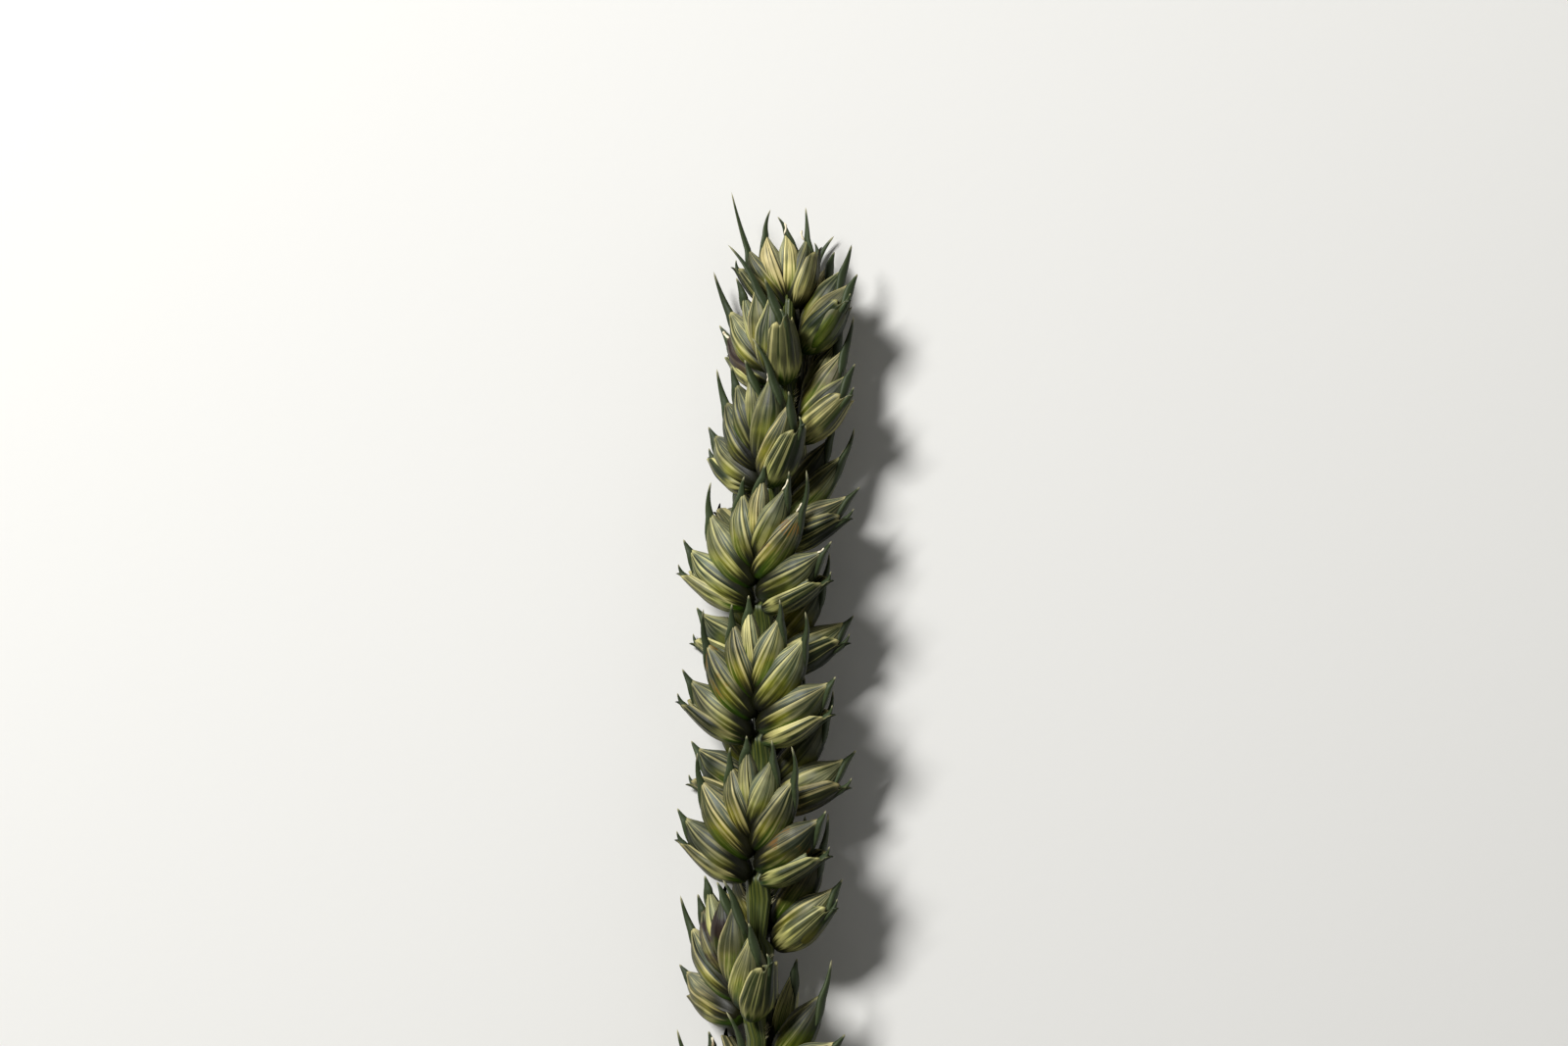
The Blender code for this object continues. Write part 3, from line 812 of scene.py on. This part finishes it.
def straw_material(colours):
    """Green straw: smooth and waxy, finely ribbed, darker on the rachis, whose green is deepened with painted shade,
    and pithy inside its cut end.
    """
    material, tree, shader = new_material("ribbed green straw", 0.42, sheen=0.1)
    around, along, inside = attribute_parts(tree, "place")
    streaks = texture(tree, stretched(tree, times(tree, around, 30.0), times(tree, along, 9.0)), 1.0, 3.0)
    # Above the straw the rachis turns dark green: its own colour deepened with painted shade between the spikelets
    body = blend(tree, band(tree, along, 0.22, 0.36), colours.straw, colours.rachis)
    body = blend(tree, times(tree, band(tree, streaks, 0.42, 0.62), 0.3), body, colours.belly)
    body = blend(tree, times(tree, band(tree, streaks, 0.58, 0.7), 0.25), body, colours.wax)
    body = blend(tree, inside, body, colours.cream)
    tree.links.new(body, shader.inputs["Base Color"])
    relief_of(tree, shader, streaks, 0.4, 0.05 * MM)
    return material


def anther_material(colours):
    """Withered anther: a dry papery thread, matt and nearly white."""
    material, tree, shader = new_material("dry anther", 0.8)
    cloud = texture(tree, object_place(tree), 2400.0, 2.0)
    body = blend(tree, times(tree, band(tree, cloud, 0.5, 0.7), 0.6), colours.anther, colours.rust)
    tree.links.new(body, shader.inputs["Base Color"])
    return material


def hair_material(colours):
    """Hair of the rachis: short, stiff and colourless."""
    material, _, shader = new_material("pale rachis hair", 0.6)
    shader.inputs["Base Color"].default_value = (*colours.cream, 1)
    return material


def floor_material(colours):
    """Floor: matt painted board with a faint tooth."""
    material, tree, shader = new_material("matt pale floor", 0.9)
    shader.inputs["Base Color"].default_value = (*colours.floor, 1)
    relief_of(tree, shader, texture(tree, object_place(tree), 900.0, 3.0), 0.08, 0.1 * MM)
    return material


# Rachis and straw


def rachis_stations(sizes):
    """(height, middle off the axis, half depth, half width, inside) from the bottom of the straw's hollow upwards."""
    yield LUMEN_DEPTH - STRAW_LENGTH, 0.0, 0.0, 0.0, 1
    yield LUMEN_DEPTH - STRAW_LENGTH, 0.0, LUMEN_RADIUS, LUMEN_RADIUS, 1
    yield -STRAW_LENGTH + 0.05 * MM, 0.0, LUMEN_RADIUS, LUMEN_RADIUS, 1
    yield -STRAW_LENGTH, 0.0, LUMEN_RADIUS * 1.06, LUMEN_RADIUS * 1.06, 1
    yield -STRAW_LENGTH, 0.0, STRAW_RADIUS * 0.96, STRAW_RADIUS * 0.96, 1
    yield -STRAW_LENGTH + 0.06 * MM, 0.0, STRAW_RADIUS, STRAW_RADIUS, 0
    yield -STRAW_LENGTH / 2, 0.0, STRAW_RADIUS, STRAW_RADIUS, 0
    yield -3 * MM, 0.0, STRAW_TOP_RADIUS, STRAW_TOP_RADIUS, 0
    for spikelet in reversed(list(spikelets(sizes))):
        if spikelet.number == 0:
            yield spikelet.height + 1.5 * MM, 0.0, RACHIS_HALF_DEPTH, RACHIS_HALF_DEPTH, 0
            yield spikelet.height + 1.5 * MM, 0.0, 0.0, 0.0, 0
            continue
        near = spikelet.row * (LEDGE - RACHIS_HALF_DEPTH) / 2
        deep = (LEDGE + RACHIS_HALF_DEPTH) / 2
        yield spikelet.height - 1.4 * MM, near / 2, RACHIS_HALF_DEPTH * 1.2, RACHIS_HALF_WIDTH, 0
        yield spikelet.height + LEDGE_HEIGHT, near, deep, RACHIS_HALF_WIDTH * 0.9, 0
        yield spikelet.height + 1.2 * MM, -spikelet.row * ZIGZAG, RACHIS_HALF_DEPTH, RACHIS_HALF_WIDTH * 0.7, 0


def fine_stations(sizes, longest=0.7 * MM):
    """The stations with others put in between, so that ribs and the twist run smoothly."""
    stations = list(rachis_stations(sizes))
    for first, second in zip(stations, stations[1:]):
        parts = max(1, math.ceil(abs(second[0] - first[0]) / longest))
        for part in range(parts):
            share = part / parts
            yield tuple(a + (b - a) * share for a, b in zip(first, second))
    yield stations[-1]


def rachis_point(station, around, sizes):
    """Point of the ribbed surface at a station, by its angle round the axis."""
    height, middle, half_depth, half_width, inside = station
    rib = sizes.rib * math.cos(RACHIS_RIBS * around) * (1 - inside) * min(1.0, half_width / (0.5 * MM))
    across = (half_width + rib) * math.sin(around)
    out = middle + (half_depth + rib) * math.cos(around)
    return on_table((across, height, out), turn_at(height))


class WHEAT_OT_rachis(Operator):
    """Adds the zigzag rachis on its cut straw"""

    bl_idname = "wheat.add_rachis"
    bl_label = "Add Rachis and Straw"

    def execute(self, context):
        sizes = context.scene.wheat_sizes
        stations = list(fine_stations(sizes))
        mesh = bmesh.new()
        layers = new_layers(mesh)
        bmesh.ops.create_uvsphere(mesh, u_segments=RACHIS_SIDES, v_segments=len(stations) - 1, radius=1)
        whole = STRAW_LENGTH + RACHIS_LENGTH
        for vertex in mesh.verts:
            around = math.atan2(vertex.co.y, vertex.co.x)
            station = stations[row_of(vertex, len(stations) - 1)]
            vertex.co = rachis_point(station, around, sizes)
            vertex[layers["place"]] = Vector((abs(around) / math.pi, (station[0] + STRAW_LENGTH) / whole, station[4]))
        finish_piece("rachis_and_straw", mesh, straw_material(context.scene.wheat_colours))
        return {"FINISHED"}


class WHEAT_OT_hairs(Operator):
    """Adds the short hairs on both edges of the rachis below each spikelet"""

    bl_idname = "wheat.add_hairs"
    bl_label = "Add Rachis Hairs"

    def execute(self, context):
        sizes = context.scene.wheat_sizes
        draw = random.Random(SEED + 1)
        mesh = bmesh.new()
        for spikelet in spikelets(sizes):
            for number in range(HAIRS if spikelet.number else 0):
                side = -1 if number % 2 else 1
                height = spikelet.height - draw.uniform(0.2, 2.0) * MM
                width = RACHIS_HALF_WIDTH * draw.uniform(0.8, 0.95)
                root = on_table((side * width, height, spikelet.row * draw.uniform(0, 0.3) * MM), turn_at(height))
                reach = Vector((side * draw.uniform(0.5, 1.0), draw.uniform(0.4, 1.0), draw.uniform(-0.3, 0.3)))
                tip = root + reach.normalized() * sizes.hair * draw.uniform(0.5, 1.0)
                verts = bmesh.ops.create_cone(mesh, cap_ends=True, segments=4, radius1=HAIR_RADIUS,
                                              radius2=HAIR_TIP_RADIUS, depth=1)["verts"]
                turn = (tip - root).to_track_quat("Z", "Y")
                for vertex in verts:
                    share = vertex.co.z + 0.5
                    flat = turn @ Vector((vertex.co.x, vertex.co.y, 0))
                    vertex.co = root.lerp(tip, share) + flat
        finish_piece("rachis_hairs", mesh, hair_material(context.scene.wheat_colours))
        return {"FINISHED"}


class WHEAT_OT_florets(Operator):
    """Adds the florets of each spikelet: lemma, palea and awnlet"""

    bl_idname = "wheat.add_florets"
    bl_label = "Add Florets"

    def execute(self, context):
        sizes, colours = context.scene.wheat_sizes, context.scene.wheat_colours
        lemma, awnlet = husk_material("waxy green lemma", colours, False), awnlet_material(colours)
        for spikelet, found in layout(sizes):
            draw = random.Random(SEED * 100 + spikelet.number)
            mesh = bmesh.new()
            layers = new_layers(mesh)
            for husk in found:
                if not husk.glume:
                    husk_shell(mesh, layers, husk, spikelet, found.index(husk) - 2, sizes, draw)
                    paint(horn(mesh, layers, husk, spikelet, draw), 1)
            finish_piece(f"florets_{spikelet.number:02d}", mesh, lemma, awnlet)
        return {"FINISHED"}


class WHEAT_OT_glumes(Operator):
    """Adds the two ribbed glumes of each spikelet, each with its tooth"""

    bl_idname = "wheat.add_glumes"
    bl_label = "Add Glumes"

    def execute(self, context):
        sizes, colours = context.scene.wheat_sizes, context.scene.wheat_colours
        glume, awnlet = husk_material("ribbed green glume", colours, True), bpy.data.materials["rough green awnlet"]
        for spikelet, found in layout(sizes):
            draw = random.Random(SEED * 200 + spikelet.number)
            mesh = bmesh.new()
            layers = new_layers(mesh)
            for husk in found:
                if husk.glume:
                    husk_shell(mesh, layers, husk, spikelet, 0, sizes, draw)
                    paint(horn(mesh, layers, husk, spikelet, draw), 1)
            finish_piece(f"glumes_{spikelet.number:02d}", mesh, glume, awnlet)
        return {"FINISHED"}


class WHEAT_OT_anthers(Operator):
    """Adds the withered anthers that are caught in the tips of some florets"""

    bl_idname = "wheat.add_anthers"
    bl_label = "Add Withered Anthers"

    def execute(self, context):
        sizes = context.scene.wheat_sizes
        draw = random.Random(SEED + 2)
        florets = [(spikelet, husk) for spikelet, found in layout(sizes) for husk in found if not husk.glume]
        mesh = bmesh.new()
        for spikelet, husk in draw.sample(florets, sizes.anthers):
            middle, grows, back = husk_frame(husk, ANTHER_AT)
            bend = draw.uniform(-0.8, 0.8)
            reach = draw.uniform(0.7, 1.2) * MM
            for vertex in bmesh.ops.create_uvsphere(mesh, u_segments=8, v_segments=12, radius=1)["verts"]:
                share = vertex.co.z * 0.5 + 0.5
                lobes = 1 + 0.25 * math.sin(9 * share)
                sway = back * math.sin(share * 2.2) * bend * reach * 0.5
                thick = back * vertex.co.x * ANTHER_DEPTH + UP * vertex.co.y * ANTHER_WIDTH
                root = middle - back * ANTHER_SUNK + Vector((0, 0, ANTHER_OUT))
                point = root + grows * share * reach + sway + thick * MM * lobes
                vertex.co = on_table(fan_to_ear(point, spikelet), spikelet.turn)
        finish_piece("withered_anthers", mesh, anther_material(context.scene.wheat_colours))
        return {"FINISHED"}


class WHEAT_OT_stage(Operator):
    """Adds the floor, the lights and the camera at the photograph's viewing angle"""

    bl_idname = "wheat.add_stage"
    bl_label = "Add Stage"

    def execute(self, context):
        scene = context.scene
        mesh = bmesh.new()
        bmesh.ops.create_grid(mesh, x_segments=1, y_segments=1, size=FLOOR_SIZE)
        bmesh.ops.translate(mesh, verts=mesh.verts, vec=(0, 0, -FLOOR_GAP))
        floor = new_object("floor", mesh, floor_material(scene.wheat_colours))

        rachis_top = FOOT_PLACE.y + RACHIS_LENGTH
        aim = Vector((FOOT_PLACE.x + (MIDDLE_PIXEL[0] - STRAW_PIXEL) * PIXEL,
                      rachis_top - (MIDDLE_PIXEL[1] - RACHIS_TOP_PIXEL) * PIXEL, AXIS_HEIGHT))
        camera = bpy.data.objects.new("camera", bpy.data.cameras.new("camera"))
        camera.data.lens = LENS
        camera.data.sensor_width = SENSOR
        camera.data.clip_start = 0.01
        camera.location = aim + Vector((0, 0, PHOTO_WIDTH * PIXEL * LENS / SENSOR))
        scene.collection.objects.link(camera)
        scene.camera = camera

        for name, place, size, power in LIGHTS:
            lamp = bpy.data.lights.new(name, "AREA")
            lamp.size = size
            lamp.energy = power
            light = bpy.data.objects.new(name, lamp)
            light.location = Vector(place) + aim
            light.rotation_euler = (aim - light.location).to_track_quat("-Z", "Y").to_euler()
            scene.collection.objects.link(light)
        world = bpy.data.worlds.new("studio")
        world.use_nodes = True
        world.node_tree.nodes["Background"].inputs["Color"].default_value = (*linear(WORLD_COLOUR), 1)
        world.node_tree.nodes["Background"].inputs["Strength"].default_value = WORLD_STRENGTH
        scene.world = world
        scene.view_settings.view_transform = "Standard"
        return {"FINISHED"}


class WHEAT_PT_ear(Panel):
    """Sizes, colours and steps of the wheat ear"""

    bl_label = "Wheat Ear"
    bl_idname = "WHEAT_PT_ear"
    bl_space_type = "VIEW_3D"
    bl_region_type = "UI"
    bl_category = "Wheat Ear"

    def draw(self, context):
        layout_column = self.layout.column()
        for group in (context.scene.wheat_sizes, context.scene.wheat_colours):
            for name in type(group).__annotations__:
                layout_column.prop(group, name)
        for step in STEPS:
            layout_column.operator(step.bl_idname)


STEPS = (WHEAT_OT_stage, WHEAT_OT_florets, WHEAT_OT_glumes, WHEAT_OT_rachis, WHEAT_OT_hairs, WHEAT_OT_anthers)
CLASSES = (WheatEarSizes, WheatEarColours, *STEPS, WHEAT_PT_ear)


def register():
    for made in CLASSES:
        bpy.utils.register_class(made)
    bpy.types.Scene.wheat_sizes = PointerProperty(type=WheatEarSizes)
    bpy.types.Scene.wheat_colours = PointerProperty(type=WheatEarColours)


def unregister():
    del bpy.types.Scene.wheat_colours
    del bpy.types.Scene.wheat_sizes
    for made in reversed(CLASSES):
        bpy.utils.unregister_class(made)


def main():
    register()
    bpy.ops.wheat.add_stage()
    bpy.ops.wheat.add_florets()
    bpy.ops.wheat.add_glumes()
    bpy.ops.wheat.add_rachis()
    bpy.ops.wheat.add_hairs()
    bpy.ops.wheat.add_anthers()


if __name__ == "__main__":
    main()
